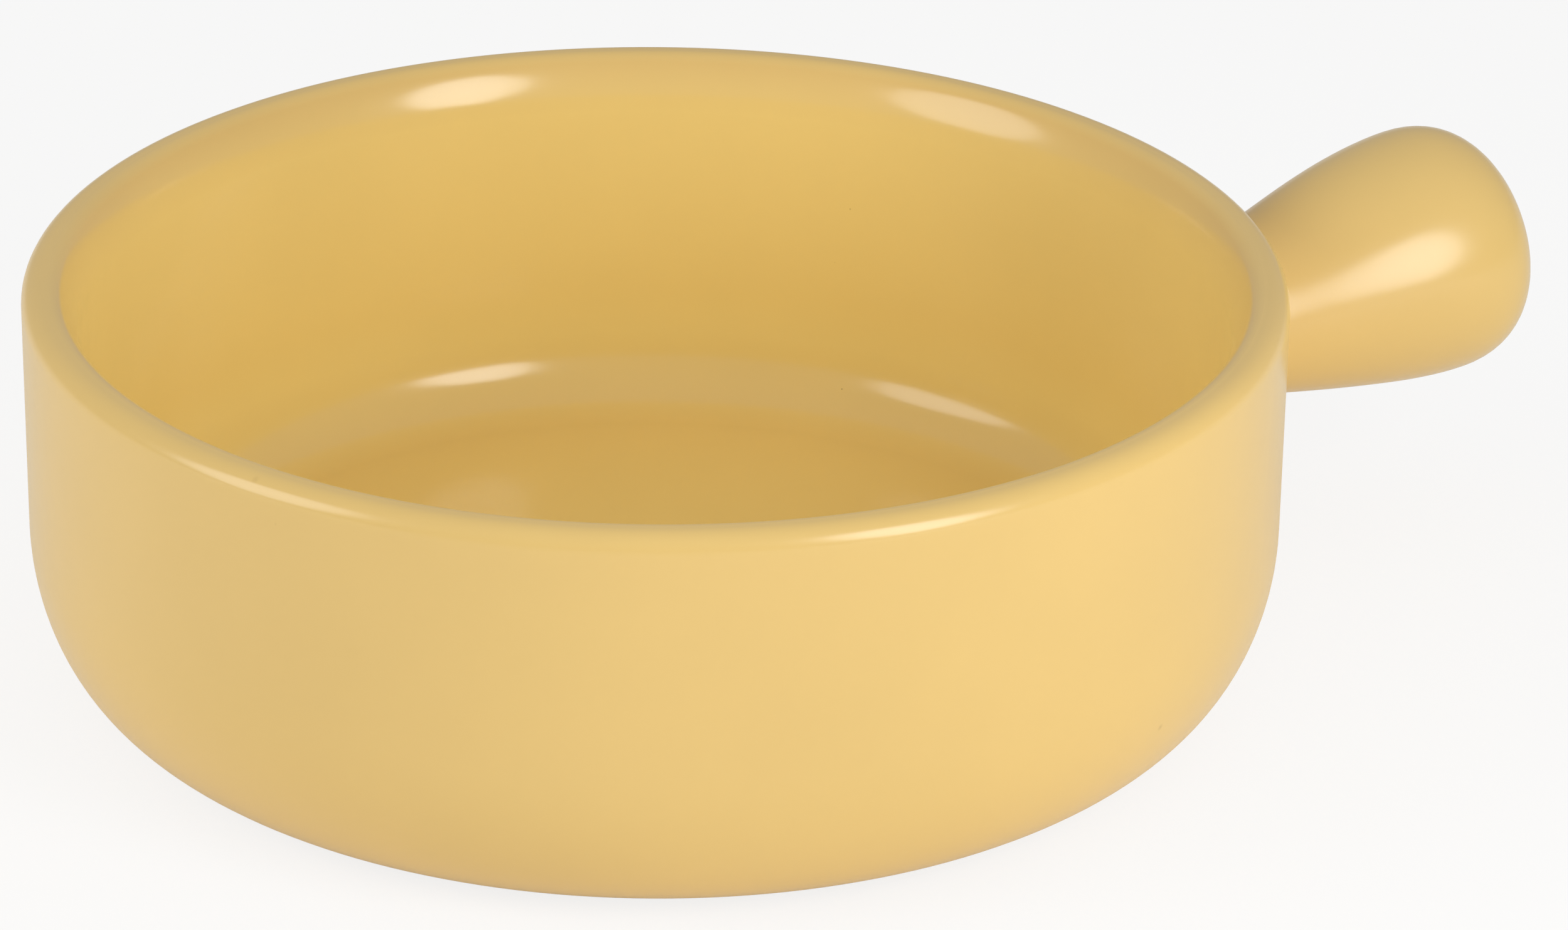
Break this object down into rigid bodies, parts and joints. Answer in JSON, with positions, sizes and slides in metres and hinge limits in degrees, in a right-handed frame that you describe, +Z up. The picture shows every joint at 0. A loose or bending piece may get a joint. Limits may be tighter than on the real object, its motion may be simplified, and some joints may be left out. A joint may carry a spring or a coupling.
{
  "type": "baking dish",
  "caption": "Round straight-sided stoneware baking dish with a thick rounded rim, a rounded base corner and one short bulb-ended stick handle, glazed pale yellow.",
  "frame": {"origin": "on the table, under the middle of the outline of bowl and handle together", "axes": "+X along the handle, away from the bowl; +Z up out of the bowl; the bowl's axis is 22.40 mm behind the origin along -X"},
  "size_m": [0.1948, 0.15, 0.051],
  "materials": {
    "stoneware": "bare fired stoneware, fine and matt",
    "gloss_glaze": "glossy yellow glaze",
    "satin_glaze": "satin yellow glaze"
  },
  "bodies": {
    "root": {"bowl_body": "stoneware", "handle_casting": "stoneware", "slip_collar": "stoneware", "inside_glaze": "gloss_glaze", "outside_glaze": "satin_glaze", "base_glaze": "satin_glaze", "handle_glaze": "satin_glaze"}
  },
  "joints": []
}
